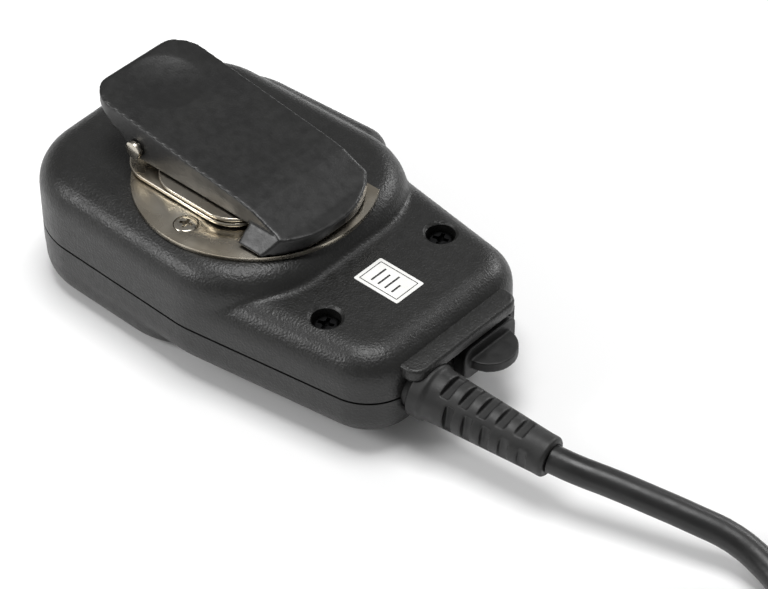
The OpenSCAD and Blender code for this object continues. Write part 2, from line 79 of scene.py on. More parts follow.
def ball(name, at, radius):
    """Fine sphere, for the thumb dish."""
    bpy.ops.object.select_all(action="DESELECT")
    bpy.ops.mesh.primitive_uv_sphere_add(segments=96, ring_count=64, radius=radius * MM,
                                         location=Vector(at) * MM)
    return settle(name)


def disc(at, radius, sides=128):
    """Flat ring of points, for hulls."""
    bpy.ops.object.select_all(action="DESELECT")
    bpy.ops.mesh.primitive_circle_add(vertices=sides, radius=radius * MM, location=Vector(at) * MM)
    return settle("disc")


def rim(at, radius, edge):
    """Ring with a round section, for hulls: the rounded edge of one plan circle."""
    bpy.ops.object.select_all(action="DESELECT")
    bpy.ops.mesh.primitive_torus_add(major_segments=128, minor_segments=40, location=Vector(at) * MM,
                                     major_radius=(radius - edge) * MM, minor_radius=edge * MM)
    return settle("rim")


def join(name, parts):
    """Makes several objects one."""
    bpy.ops.object.select_all(action="DESELECT")
    for part in parts:
        part.select_set(True)
    bpy.context.view_layer.objects.active = parts[0]
    if len(parts) > 1:
        bpy.ops.object.join()
    parts[0].name = name
    return parts[0]


def edit(obj, *steps):
    """Runs edit-mode steps on the whole of a mesh."""
    pick(obj)
    bpy.ops.object.mode_set(mode="EDIT")
    bpy.ops.mesh.select_all(action="SELECT")
    for step in steps:
        step()
    bpy.ops.object.mode_set(mode="OBJECT")
    return obj


def hull(name, parts):
    """Stretches one tight skin round several parts."""
    return edit(join(name, parts), lambda: bpy.ops.mesh.convex_hull(join_triangles=False))


def modify(obj, kind, **settings):
    """Adds a modifier and applies it."""
    pick(obj)
    modifier = obj.modifiers.new(kind, kind)
    for key, value in settings.items():
        setattr(modifier, key, value)
    bpy.ops.object.modifier_apply(modifier=modifier.name)
    return obj


def combine(obj, tool, how):
    """Boolean of an object with a tool, which is used up."""
    modify(obj, "BOOLEAN", operation=how, object=tool, solver="MANIFOLD")
    bpy.data.objects.remove(tool)
    return obj


def cut(obj, *tools):
    for tool in tools:
        combine(obj, tool, "DIFFERENCE")
    return obj


def weld(obj, *tools):
    for tool in tools:
        combine(obj, tool, "UNION")
    return obj


def prism(name, outline, low, high, plane="XY"):
    """Flat outline pulled out into a solid, in plan (XY) or in side view (XZ)."""
    turned = {"XY": lambda a, b, h: (a, b, h), "XZ": lambda a, b, h: (a, h, b)}[plane]
    mesh = bpy.data.meshes.new(name)
    mesh.from_pydata([Vector(turned(a, b, low)) * MM for a, b in outline], [], [list(range(len(outline)))])
    obj = bpy.data.objects.new(name, mesh)
    bpy.context.collection.objects.link(obj)
    pull = Vector(turned(0, 0, high)) - Vector(turned(0, 0, low))
    return edit(obj, lambda: bpy.ops.mesh.extrude_region_move(
        TRANSFORM_OT_translate={"value": pull * MM}),
        lambda: bpy.ops.mesh.select_all(action="SELECT"),
        lambda: bpy.ops.mesh.normals_make_consistent(inside=False))


def lathe(name, profile, at=(0, 0, 0), axis=(0, 0, 1), steps=96):
    """Solid of revolution: a closed profile of radius and height, spun round an axis."""
    mesh = bpy.data.meshes.new(name)
    count = len(profile)
    mesh.from_pydata([Vector((r, 0, h)) * MM for r, h in profile],
                     [(i, (i + 1) % count) for i in range(count)], [])
    obj = bpy.data.objects.new(name, mesh)
    bpy.context.collection.objects.link(obj)
    edit(obj, lambda: bpy.ops.mesh.spin(steps=steps, angle=2 * math.pi, center=(0, 0, 0), axis=(0, 0, 1)),
         lambda: bpy.ops.mesh.select_all(action="SELECT"),
         lambda: bpy.ops.mesh.remove_doubles(threshold=0.000002),
         lambda: bpy.ops.mesh.normals_make_consistent(inside=False))
    turn = Vector(axis).normalized().to_track_quat("Z", "Y").to_matrix().to_4x4()
    obj.data.transform(Matrix.Translation(Vector(at) * MM) @ turn)
    return obj


def corner_arcs(corners, steps=8):
    """Outline with rounded corners: each corner is a centre x, y, a radius and its start angle."""
    outline = []
    for x, y, radius, start in corners:
        for k in range(steps + 1):
            angle = math.radians(start + 90 * k / steps)
            outline.append((x + radius * math.cos(angle), y + radius * math.sin(angle)))
    return outline


def rounded_box(x0, x1, y0, y1, radius, steps=8):
    """Outline of a rectangle with rounded corners."""
    return corner_arcs([(x1 - radius, y1 - radius, radius, 0), (x0 + radius, y1 - radius, radius, 90),
                        (x0 + radius, y0 + radius, radius, 180), (x1 - radius, y0 + radius, radius, 270)],
                       steps)


def bevel(obj, width, segments=3, angle=30):
    """Rounds every edge that is sharper than an angle."""
    return modify(obj, "BEVEL", width=width * MM, segments=segments, limit_method="ANGLE",
                  angle_limit=math.radians(angle), harden_normals=False)


def smooth(obj, angle=30):
    """Shades smooth, apart from edges sharper than an angle."""
    pick(obj)
    bpy.ops.object.shade_smooth_by_angle(angle=math.radians(angle))
    return obj


def mould(obj, voxel, rounds):
    """Moulded plastic or rubber: a fine even skin whose corners all come out softly rounded."""
    modify(obj, "REMESH", mode="VOXEL", voxel_size=voxel * MM, use_smooth_shade=True)
    return modify(obj, "SMOOTH", factor=0.5, iterations=rounds)


def place(obj, body, slot, finish, *replaced):
    """Gives a piece its body and its material, and hides the CAD nodes that it stands for; the slot argument
    is not used.
    """
    obj.data.materials.clear()
    obj.data.materials.append(finish)
    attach(obj, body)
    if replaced:
        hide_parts(*replaced)
    return obj


# ---------------------------------------------------------------- materials


def colour(code):
    """Linear colour from an sRGB hex code."""
    parts = [int(code[i:i + 2], 16) / 255 for i in (1, 3, 5)]
    return [c / 12.92 if c <= 0.04045 else ((c + 0.055) / 1.055) ** 2.4 for c in parts] + [1]


def add(tree, kind, inputs=None, **settings):
    """Adds a node with its settings, its constants and its links."""
    node = tree.nodes.new("ShaderNode" + kind)
    for key, value in settings.items():
        setattr(node, key, value)
    for socket, value in (inputs or {}).items():
        if isinstance(value, bpy.types.NodeSocket):
            tree.links.new(value, node.inputs[socket])
        else:
            node.inputs[socket].default_value = value
    return node


def new_material(name, base, roughness, metallic=0, **shader):
    """Material with its shader's constants, and coordinates in millimetres for its patterns."""
    material = bpy.data.materials.new(name)
    material.use_nodes = True
    tree = material.node_tree
    principled = tree.nodes["Principled BSDF"]
    principled.inputs["Base Color"].default_value = colour(base)
    principled.inputs["Roughness"].default_value = roughness
    principled.inputs["Metallic"].default_value = metallic
    for socket, value in shader.items():
        principled.inputs[socket.replace("_", " ")].default_value = value
    coords = add(tree, "TexCoord")
    millimetres = add(tree, "Mapping", {"Vector": coords.outputs["Object"], "Scale": (1000, 1000, 1000)})
    return material, tree, principled, millimetres.outputs["Vector"]


def relief(tree, principled, height, depth, strength=1.0, below=None):
    """Bump of a height pattern, its depth in millimetres."""
    inputs = {"Height": height, "Distance": depth * MM, "Strength": strength}
    if below is not None:
        inputs["Normal"] = below
    bump = add(tree, "Bump", inputs)
    tree.links.new(bump.outputs["Normal"], principled.inputs["Normal"])
    return bump.outputs["Normal"]


def blotches(tree, vector, scale, low, high, detail=3):
    """Slow noise turned to a range of values."""
    noise = add(tree, "TexNoise", {"Vector": vector, "Scale": scale, "Detail": detail})
    return add(tree, "MapRange", {"Value": noise.outputs["Fac"], "From Min": 0.3, "From Max": 0.7,
                                  "To Min": low, "To Max": high}).outputs["Result"]


def tint(tree, principled, factor, first, second):
    """Base colour that drifts between two colours."""
    mix = add(tree, "Mix", {"Factor": factor, "A": colour(first), "B": colour(second)}, data_type="RGBA")
    tree.links.new(mix.outputs["Result"], principled.inputs["Base Color"])


def pebbled_abs():
    """ABS moulded against a leather-grained tool: pebbles 0.5 mm across that catch the light."""
    material, tree, principled, at = new_material("pebbled ABS", "#141413", 0.4)
    cells = add(tree, "TexVoronoi", {"Vector": at, "Scale": 1.9, "Randomness": 1.0}, feature="SMOOTH_F1")
    cells.inputs["Smoothness"].default_value = 0.6
    grain = add(tree, "TexNoise", {"Vector": at, "Scale": 2.4, "Detail": 2.0, "Roughness": 0.55})
    coarse = relief(tree, principled, cells.outputs["Distance"], 0.08, 0.7)
    relief(tree, principled, grain.outputs["Fac"], 0.1, 0.6, coarse)
    tree.links.new(blotches(tree, at, 0.6, 0.36, 0.46), principled.inputs["Roughness"])
    tint(tree, principled, blotches(tree, at, 0.08, 0, 1), "#121211", "#181817")
    return material


def satin_abs():
    """ABS from a finely etched tool: softer and finer grain than the case, 0.4 mm."""
    material, tree, principled, at = new_material("etched ABS", "#101010", 0.36)
    grain = add(tree, "TexNoise", {"Vector": at, "Scale": 2.2, "Detail": 3.0, "Roughness": 0.6})
    relief(tree, principled, grain.outputs["Fac"], 0.06, 0.5)
    tree.links.new(blotches(tree, at, 0.5, 0.33, 0.43), principled.inputs["Roughness"])
    tint(tree, principled, blotches(tree, at, 0.1, 0, 1), "#0e0e0e", "#141413")
    return material


def plain_abs():
    """ABS straight from a polished tool, for parts inside the case."""
    material, tree, principled, at = new_material("plain ABS", "#1c1c1e", 0.35)
    relief(tree, principled, blotches(tree, at, 1.5, 0, 1), 0.02, 0.4)
    tree.links.new(blotches(tree, at, 0.3, 0.3, 0.42), principled.inputs["Roughness"])
    return material


def soft_rubber():
    """Moulded TPE: matte, with a faint bloom and a very fine grain."""
    material, tree, principled, at = new_material("moulded TPE", "#131313", 0.5)
    grain = add(tree, "TexNoise", {"Vector": at, "Scale": 3.5, "Detail": 3.0})
    relief(tree, principled, grain.outputs["Fac"], 0.05, 0.5)
    tree.links.new(blotches(tree, at, 0.35, 0.42, 0.58), principled.inputs["Roughness"])
    tint(tree, principled, blotches(tree, at, 0.2, 0, 1), "#101010", "#191918")
    return material


def pvc_jacket():
    """Extruded soft PVC: an even satin skin with faint die lines."""
    material, tree, principled, at = new_material("PVC cord jacket", "#121212", 0.38)
    grain = add(tree, "TexNoise", {"Vector": at, "Scale": 1.4, "Detail": 4.0})
    relief(tree, principled, grain.outputs["Fac"], 0.06, 0.5)
    tree.links.new(blotches(tree, at, 0.25, 0.33, 0.46), principled.inputs["Roughness"])
    return material


def stainless():
    """Rolled stainless sheet: bright, with fine lines along the roll and a few stains."""
    material, tree, principled, at = new_material("rolled stainless steel", "#b9b2a4", 0.24, 1)
    lines = add(tree, "Mapping", {"Vector": at, "Scale": (0.25, 9, 9)})
    rolled = add(tree, "TexNoise", {"Vector": lines.outputs["Vector"], "Scale": 1.0, "Detail": 3.0})
    relief(tree, principled, rolled.outputs["Fac"], 0.012, 0.5)
    tree.links.new(blotches(tree, at, 0.12, 0.18, 0.34), principled.inputs["Roughness"])
    tint(tree, principled, blotches(tree, at, 0.07, 0, 1), "#a59b8a", "#c2bdb2")
    return material


def nickel():
    """Bright nickel plate: smooth, with light handling marks."""
    material, tree, principled, at = new_material("nickel plate", "#bab4a8", 0.2, 1)
    tree.links.new(blotches(tree, at, 0.8, 0.14, 0.28), principled.inputs["Roughness"])
    relief(tree, principled, blotches(tree, at, 2.5, 0, 1), 0.01, 0.4)
    return material


def black_oxide():
    """Steel screw with a black oxide finish: dark, oily and a little uneven."""
    material, tree, principled, at = new_material("black oxide steel", "#2a2a2b", 0.3, 1)
    tree.links.new(blotches(tree, at, 1.2, 0.24, 0.42), principled.inputs["Roughness"])
    relief(tree, principled, blotches(tree, at, 3, 0, 1), 0.02, 0.4)
    return material


def zinc():
    """Zinc-plated steel: dull grey with a faint spangle."""
    material, tree, principled, at = new_material("zinc plate", "#9c9ea0", 0.4, 1)
    spangle = add(tree, "TexVoronoi", {"Vector": at, "Scale": 0.7})
    roughness = add(tree, "MapRange", {"Value": spangle.outputs["Color"], "To Min": 0.32, "To Max": 0.5})
    tree.links.new(roughness.outputs["Result"], principled.inputs["Roughness"])
    return material


def ferrite():
    """Sintered ferrite: charcoal, dry and slightly porous."""
    material, tree, principled, at = new_material("sintered ferrite", "#252527", 0.7)
    relief(tree, principled, blotches(tree, at, 1.8, 0, 1), 0.05, 0.6)
    return material


def pressed_paper():
    """Pressed paper cone: dark felted fibres."""
    material, tree, principled, at = new_material("pressed paper", "#1d1a17", 0.9)
    stretched = add(tree, "Mapping", {"Vector": at, "Scale": (1, 4, 2)})
    relief(tree, principled, blotches(tree, stretched.outputs["Vector"], 1.5, 0, 1, 6), 0.06, 0.8)
    tint(tree, principled, blotches(tree, at, 0.5, 0, 1), "#191613", "#25211d")
    return material


def grille_weave():
    """Plain-woven acoustic cloth: threads 0.5 mm apart."""
    material, tree, principled, at = new_material("acoustic cloth", "#141414", 0.9, Sheen_Weight=0.3)
    along = add(tree, "TexWave", {"Vector": at, "Scale": 0.32}, bands_direction="X")
    across = add(tree, "TexWave", {"Vector": at, "Scale": 0.32}, bands_direction="Y")
    weave = add(tree, "Math", {0: along.outputs["Fac"], 1: across.outputs["Fac"]}, operation="MAXIMUM")
    relief(tree, principled, weave.outputs["Value"], 0.1, 0.9)
    tint(tree, principled, weave.outputs["Value"], "#0a0a0a", "#1d1d1d")
    return material


def satin_aluminium():
    """Drawn aluminium can: soft bright grey with drawing lines up its side."""
    material, tree, principled, at = new_material("drawn aluminium", "#c9c9c8", 0.3, 1)
    lines = add(tree, "Mapping", {"Vector": at, "Scale": (6, 6, 0.2)})
    tree.links.new(blotches(tree, lines.outputs["Vector"], 1, 0.24, 0.4), principled.inputs["Roughness"])
    return material


def solder_mask():
    """Green solder mask over copper: glossy, with paler tracks 0.5 mm wide under it."""
    material, tree, principled, at = new_material("solder mask", "#175030", 0.25, Coat_Weight=0.3)
    tracks = add(tree, "TexBrick", {"Vector": at, "Scale": 0.35, "Mortar Size": 0.03,
                                    "Color1": colour("#17492c"), "Color2": colour("#144529"),
                                    "Mortar": colour("#2d7a48")})
    tree.links.new(tracks.outputs["Color"], principled.inputs["Base Color"])
    relief(tree, principled, tracks.outputs["Fac"], 0.03, 0.6)
    return material


def label_film():
    """White printed polyester film: smooth, with a thin clear coat."""
    material, tree, principled, at = new_material("printed polyester film", "#e9e9e6", 0.4, Coat_Weight=0.2)
    tree.links.new(blotches(tree, at, 0.6, 0.34, 0.46), principled.inputs["Roughness"])
    tint(tree, principled, blotches(tree, at, 0.3, 0, 1), "#e4e4e0", "#eeeeec")
    return material


def ink():
    """Screen-printed ink: flat and a little uneven."""
    material, tree, principled, at = new_material("black ink", "#2e2e2e", 0.5)
    tree.links.new(blotches(tree, at, 2, 0.42, 0.6), principled.inputs["Roughness"])
    return material


def acetal():
    """Brown acetal plunger: slightly waxy."""
    material, tree, principled, at = new_material("brown acetal", "#7a4428", 0.4)
    tree.links.new(blotches(tree, at, 0.8, 0.34, 0.46), principled.inputs["Roughness"])
    return material


def studio_floor():
    """Seamless white paper."""
    material, tree, principled, at = new_material("white paper", "#f4f4f4", 0.9)
    relief(tree, principled, blotches(tree, at, 0.5, 0, 1), 0.02, 0.2)
    return material


CASE = pebbled_abs()
CLIP = satin_abs()
INNER = plain_abs()
RUBBER = soft_rubber()
JACKET = pvc_jacket()
STEEL = stainless()
NICKEL = nickel()
OXIDE = black_oxide()
ZINC = zinc()
FERRITE = ferrite()
PAPER = pressed_paper()
CLOTH = grille_weave()
ALUMINIUM = satin_aluminium()
MASK = solder_mask()
FILM = label_film()
INK = ink()
ACETAL = acetal()

# ---------------------------------------------------------------- sizes, in millimetres

SEAM = 14
HALF_SEAL = 0.25
WALL = 2.2
HEAD_TOP = 29.6
TAIL_TOP = 24.6
BULGE_TOP = 26.4
TAIL_LIFT = 4.2
BACK_EDGE = 6.5
FRONT_EDGE = 5
PLATE_Z = 30.6
PLATE_R = 25.5
CORD_R = 2.9
PIN_X = -19.5
PIN_Z = 36
CLIP_HALF = 13.4
CLIP_Y = -1
LEAF_SCREWS = (CLIP_Y - 9.2, CLIP_Y + 9.2)
LEAF_Z = PLATE_Z + 1.7
JACK_Y = 6.5
JACK_Z = 13.7
PLATE_SCREW_R = 20.2
PLATE_SCREW_TURNS = (-90, 10, 170)
JAW_R = 21.7
JAW_X = 12.3
DISH_X = -24.6
DISH_R = 8
DISH_DEPTH = 0.8
LABEL_AT = (37.1, -1)
CASE_SCREWS = ((35, 17.1), (35, -17.1))
SCREW_SEAT = 21
BOARD_Z = 16.5
BOARD_SPOTS = ((-36, 15), (-36, -15), (18, 20), (18, -20))
SPEAKER_X = -16
SPEAKER_R = 20
MIC_X = 28
# The talk button in side view: x from and to, z from and to, corner radius
TALK = (-26, 6, 8, 20, 4)
BOOT_LEN = 31
PLUG_BOOT = 8
PLUG_LEN = 16
PIN_OFFSET = 5.7

# Plan circles of the outline, as x, y and radius
HEAD_END = [(-21.5, 0, 23.5), (-27, 11.8, 17.5), (-27, -11.8, 17.5)]
WAIST = [(6, 10, 20), (6, -10, 20)]
CORD_END = [(43, 13.5, 11), (43, -13.5, 11)]
BODY = HEAD_END + WAIST + CORD_END
BULGE = [(2.5, 28.3, 6), (-22, 17, 16), (-5, 5, 15)]
HEAD = HEAD_END + [(-8, 11, 18.5), (-8, -11, 18.5)]

# The cord's route, as in the part's source: strain relief to coil, coil to plug
LEAD = [(85, -7.6, 11.8), (90, -6.6, 11.5), (97, -4.4, 10.8), (105, -2, 9.8), (113, 0.4, 8.6),
        (121, 2.6, 7), (128, 2.7, 5.2), (134.7, 0.9, 3.9), (140.8, -2.3, 3.2), (147, -5.7, 2.9),
        (154, -8.3, 2.9)]
# Its end is where the plug starts
TAIL = [(178.4, -4.3, 8.7), (187.1, 0.7, 8.5), (194.1, 4.7, 7.9), (200, 8.6, 7.2),
        (204.7, 13.1, 6.5), (208.1, 18.1, 5.9), (210.2, 23.4, 5.5), (210.8, 28.5, 5.4)]
COIL_AT = (161, 25.8)
COIL_R = 29

# ---------------------------------------------------------------- camera and cord


def make_camera():
    """Long lens, from above the near side of the cord end."""
    camera = bpy.data.objects.new("camera", bpy.data.cameras.new("camera"))
    bpy.context.collection.objects.link(camera)
    turn, rise, distance = math.radians(41.86), math.radians(41.75), 0.582
    aim = Vector((0.0301, 0.0054, 0.0126))
    towards = Vector((math.sin(turn) * math.cos(rise), -math.cos(turn) * math.cos(rise), math.sin(rise)))
    camera.location = aim + towards * distance
    camera.rotation_euler = (-towards).to_track_quat("-Z", "Y").to_euler()
    camera.data.lens = 134.1
    camera.data.sensor_width = 36
    camera.data.clip_start = 0.01
    bpy.context.scene.camera = camera


def coil_turns():
    """Four turns laid flat: two winding inwards, a short climb, and two winding out on top of them."""
    wide, start, layer, climb, count = 2 * CORD_R, -101.6, 720, 41.6, 98
    points = []
    for i in range(1, count):
        turned = (2 * layer + climb) * i / count
        angle = math.radians(turned + start)
        above = min(max((turned - layer) / climb, 0), 1)
        reach = COIL_R + wide - wide * (min(turned, layer) - max(turned - layer - climb, 0)) / 360
        # The turns rise over the tie's underside, within 30 degrees of it
        lift = 0.6 * max(0, math.cos(3 * angle)) if math.cos(angle) > 0.86 else 0
        points.append((COIL_AT[0] + reach * math.cos(angle), COIL_AT[1] + reach * math.sin(angle),
                       CORD_R + wide * above + lift))
    return points


def make_cord():
    """The whole cord as one round tube along its route."""
    curve = bpy.data.curves.new("cord", "CURVE")
    curve.dimensions = "3D"
    spline = curve.splines.new("BEZIER")
    route = LEAD + coil_turns() + TAIL
    spline.bezier_points.add(len(route) - 1)
    for point, at in zip(spline.bezier_points, route):
        point.co = Vector(at) * MM
        point.handle_left_type = point.handle_right_type = "AUTO"
    spline.resolution_u = 4
    curve.bevel_depth = CORD_R * MM
    curve.bevel_resolution = 8
    curve.use_fill_caps = True
    cord = bpy.data.objects.new("cord", curve)
    bpy.context.collection.objects.link(cord)
    return place(cord, "body", "cord_black", JACKET, "cord_lead", "cord_coil", "cord_tail")


make_camera()
cord = make_cord()

# ---------------------------------------------------------------- casing


def rounded_form(circles, top, edge, inset, base):
    """Body form inside plan circles: rounded round its far face, and square at its base."""
    side = 1 if top > base else -1
    parts = []
    for x, y, radius in circles:
        parts.append(rim((x, y, top - side * edge), radius - inset, edge - inset))
        parts.append(disc((x, y, base), radius - inset))
    return hull("form", parts)


def rear_forms(inset):
    """The head, the lower cord end and the bulge, from past the seam to the back face."""
    low = SEAM - 2
    return [rounded_form(HEAD_END + WAIST, HEAD_TOP, BACK_EDGE, inset, low),
            rounded_form(WAIST + CORD_END, TAIL_TOP, BACK_EDGE, inset, low),
            rounded_form(BULGE, BULGE_TOP, BACK_EDGE - 1, inset, low)]


def front_forms(inset, head_inset):
    """The whole front, the deeper head and the bulge, from past the seam to the front face."""
    high = SEAM + 2
    return [rounded_form(BODY, TAIL_LIFT, FRONT_EDGE, inset, high),
            rounded_form(HEAD, 0, FRONT_EDGE + 1, head_inset, high),
            rounded_form(BULGE, TAIL_LIFT, FRONT_EDGE, inset, high)]


def blended(forms, low, high):
    """Forms joined into one skin with soft creases, then cut flat at the seam."""
    skin = weld(forms[0], *forms[1:])
    mould(skin, 0.6, 6)
    return cut(skin, block("past", (-70, -70, low), (90, 70, high)))


def along_cord(z):
    """Point on the strain relief's axis, z out from the end wall."""
    return Vector((54.2, -10.8, SEAM)) + CORD_AXIS * z


CORD_AXIS = Vector((0, 0, 1))
CORD_AXIS.rotate(Euler((0, math.radians(94), math.radians(6)), "XYZ"))


def end_tools():
    """What is cut out of both shells at the cord end."""
    return [rod("hole", along_cord(-6), 5.1, 12, CORD_AXIS), rod("seat", along_cord(0.2), 6.4, 8, CORD_AXIS),
            rod("nose", (50.8, JACK_Y, JACK_Z), 3.1, 4.2, (1, 0, 0)),
            block("slit", (50.8, 15.8, 11.4), (55.8, 17.2, 16.6))]


def window_tool():
    """What is cut out of both shells round the talk button."""
    x0, x1, z0, z1, radius = TALK
    return prism("window", rounded_box(x0 - 0.3, x1 + 0.3, z0 - 0.3, z1 + 0.3, radius + 0.2), 26, 46, "XZ")


def plate_spot(turn):
    return PLATE_SCREW_R * math.cos(math.radians(turn)), PLATE_SCREW_R * math.sin(math.radians(turn))


def make_rear_shell():
    """Back half: the blended outer skin, hollowed, with its ridge, bosses and holes."""
    seat = rod("seat", (0, 0, TAIL_TOP - 1), PLATE_R - 1.5, HEAD_TOP - TAIL_TOP + 1)
    shell = blended([*rear_forms(0), seat], 0, SEAM + HALF_SEAL)
    cut(shell, *rear_forms(WALL))
    ridge = prism("ridge", [(51.9, -15.5)] + corner_arcs([(54.5, -12.5, 3, 270)])
                  + corner_arcs([(54.5, 12.5, 3, 0)]) + [(51.9, 15.5)], 18.6, 21.6)
    weld(shell, bevel(ridge, 0.8, 4))
    for x, y in CASE_SCREWS:
        weld(shell, rod("boss", (x, y, SEAM + 1), 4, 9))
        cut(shell, rod("seat", (x, y, SCREW_SEAT), 3.1, 10), rod("shank", (x, y, SEAM), 1.3, 12),
            rod("edge", (x, y, TAIL_TOP - 0.6), 3.0, 1, (0, 0, 1), 4.2))
    for turn in PLATE_SCREW_TURNS:
        cut(shell, rod("hole", (*plate_spot(turn), 24), 1.1, 8))
    cut(shell, rod("hole", (0, 0, 24), 3, 8), window_tool(), *end_tools())
    return place(smooth(shell, 28), "body", "case_black", CASE, "rear_shell")


def make_front_shell():
    """Front half: the blended outer skin, hollowed, with its posts, speaker ring and sound slots."""
    shell = blended(front_forms(0, 0.15), SEAM - HALF_SEAL, 40)
    cut(shell, *front_forms(WALL, WALL))
    for x, y in CASE_SCREWS:
        weld(shell, rod("boss", (x, y, 5.2), 3.2, 9.8))
        cut(shell, rod("hole", (x, y, 6.7), 1.3, 12))
    for x, y in BOARD_SPOTS:
        low = 1 if x < 0 else 5.2
        weld(shell, rod("post", (x, y, low), 2.4, BOARD_Z - low))
        cut(shell, rod("hole", (x, y, BOARD_Z - 6), 0.9, 8))
    ring = rod("ring", (SPEAKER_X, 0, 1), SPEAKER_R + 1.3, 5)
    weld(shell, cut(ring, rod("inside", (SPEAKER_X, 0, 0), SPEAKER_R + 0.1, 7)))
    slots = []
    for i in range(-3, 4):
        reach = math.sqrt(256 - 16 * i * i)
        for side in (-1, 1):
            low, high = sorted((side * 2, side * reach))
            x = SPEAKER_X + 4 * i
            slots.append(prism("slot", rounded_box(x - 0.6, x + 0.6, low, high, 0.58, 4), -1, 4))
    cut(shell, join("slots", slots), rod("hole", (MIC_X, 0, 0), 0.8, 10), window_tool(), *end_tools())
    return place(smooth(shell, 28), "body", "case_black", CASE, "front_shell")


def cross_screw(name, at, radius, height, shank, length, recess):
    """Cross-recessed pan-head screw, its head's underside at a point and its shank below it."""
    x, y, z = at
    head = bevel(rod(name, at, radius, height, sides=48), height * 0.45, 5)
    tools = []
    for turn in (0, 90):
        arm = block("arm", (-recess / 2, -recess / 8, 0), (recess / 2, recess / 8, height))
        arm.data.transform(Matrix.Translation(Vector((x, y, z + height * 0.45)) * MM)
                           @ Matrix.Rotation(math.radians(turn + 20), 4, "Z"))
        tools.append(arm)
    well = rod("well", (x, y, z + height * 0.35), recess * 0.16, height, tip=recess * 0.3, sides=24)
    cut(head, well, *tools)
    return join(name, [head, rod("shank", (x, y, z - length), shank, length, sides=32)])


def make_case_screws():
    """The two black screws at the cord end, sunk in their recesses."""
    screws = [cross_screw("case_screw", (*spot, SCREW_SEAT), 2.75, 1.9, 1.3, 14.3, 3.4)
              for spot in CASE_SCREWS]
    return place(smooth(join("case_screws_black", screws), 35), "body", "screw_black", OXIDE, "case_screws")


make_rear_shell()
make_front_shell()
make_case_screws()

# ---------------------------------------------------------------- rating label


def on_tail(obj):
    """Lays a flat piece, made round the origin, on the flat back face at the cord end."""
    obj.data.transform(Matrix.Translation(Vector((*LABEL_AT, TAIL_TOP)) * MM))
    return obj


def stroke(x0, y0, x1, y1, width):
    """Printed line, a hair above the film."""
    run = Vector((x1 - x0, y1 - y0, 0))
    line = prism("stroke", [(0, -width / 2), (run.length, -width / 2), (run.length, width / 2),
                            (0, width / 2)], 0.17, 0.19)
    line.data.transform(Matrix.Translation(Vector((x0, y0, 0)) * MM)
                        @ Matrix.Rotation(math.atan2(run.y, run.x), 4, "Z"))
    return line


def make_label():
    """White film on the back face, with plain printed rules."""
    film = prism("rating_label_film", rounded_box(-5.8, 5.8, -4.05, 4.05, 0.35, 4), 0.02, 0.17)
    bevel(film, 0.04, 2)
    place(smooth(on_tail(film)), "body", "label_white", FILM, "rating_label")
    # Plain print that stands for any rating label: a thin frame round four rules of uneven length
    lines = [(-4.9, -3.2, 4.9, -3.2, 0.2), (-4.9, 3.2, 4.9, 3.2, 0.2), (-4.9, -3.2, -4.9, 3.2, 0.2),
             (4.9, -3.2, 4.9, 3.2, 0.2)]
    lines += [(x, -2.2, x, end, 0.45) for x, end in ((-2.7, 2.2), (-0.9, 1.4), (0.9, 2.2), (2.7, 0.4))]
    mark = join("label_mark", [stroke(*line) for line in lines])
    place(on_tail(mark), "body", "label_white", INK)


make_label()

# ---------------------------------------------------------------- talk button


def make_talk_button():
    """Rubber-skinned bar with a raised, grooved crown, and a flange behind the window's rim."""
    x0, x1, z0, z1, radius = TALK
    bar = prism("talk_button_grip", rounded_box(*TALK), 29.6, 35.4, "XZ")
    crown = prism("crown", rounded_box(x0 + 1.2, x1 - 1.2, z0 + 1.2, z1 - 1.2, radius - 1.2), 35, 36.2, "XZ")
    weld(bar, crown, block("flange", (-22, 28.2, 7.2), (2, 29.8, 20.8)))
    for i in range(7):
        cut(bar, rod("groove", (-19 + 3 * i, 36.5, 9.8), 0.75, 8.4, sides=24))
    mould(bar, 0.25, 4)
    return place(bar, "talk_button", "rubber_black", RUBBER, "talk_button")


make_talk_button()

# ---------------------------------------------------------------- belt clip


def make_swivel_plate():
    """Round plate, cut off straight on its far side, with holes for its rivet and screws."""
    plate = rod("swivel_plate_steel", (0, 0, HEAD_TOP), PLATE_R, 1, sides=160)
    cut(plate, rod("hole", (0, 0, 29), 3, 3), block("beyond", (-30, 13.5, 29), (30, 30, 32)))
    for turn in PLATE_SCREW_TURNS:
        cut(plate, rod("hole", (*plate_spot(turn), 29), 2.65, 3))
    return place(smooth(bevel(plate, 0.22, 3)), "body", "steel_plate", STEEL, "swivel_plate")


def make_plate_screws():
    """Countersunk screws, flush with the plate."""
    screws = join("plate_screws_nickel", [
        cross_screw("plate_screw", (*plate_spot(turn), HEAD_TOP), 2.6, 1.15, 1.1, 3.5, 2.9)
        for turn in PLATE_SCREW_TURNS])
    return place(smooth(screws, 35), "body", "steel_plate", NICKEL, "plate_screws")


def stadium(x0, x1):
    """Outline of the clip's steel leaves."""
    return rounded_box(x0, x1, CLIP_Y - 16, CLIP_Y + 16, 8, 12)


def make_rivet():
    """Swivel rivet with a dished head."""
    low, head = HEAD_TOP - 3.5, LEAF_Z + 1.2
    rivet = lathe("swivel_rivet_steel", [(0, low), (3, low), (3, head), (4.6, head), (5, head + 0.25),
                                         (4.9, head + 0.6), (4.2, head + 0.9), (2.4, head + 1),
                                         (1.6, head + 0.6), (0, head + 0.6)])
    return place(smooth(rivet, 40), "body", "steel_plate", NICKEL, "swivel_rivet")


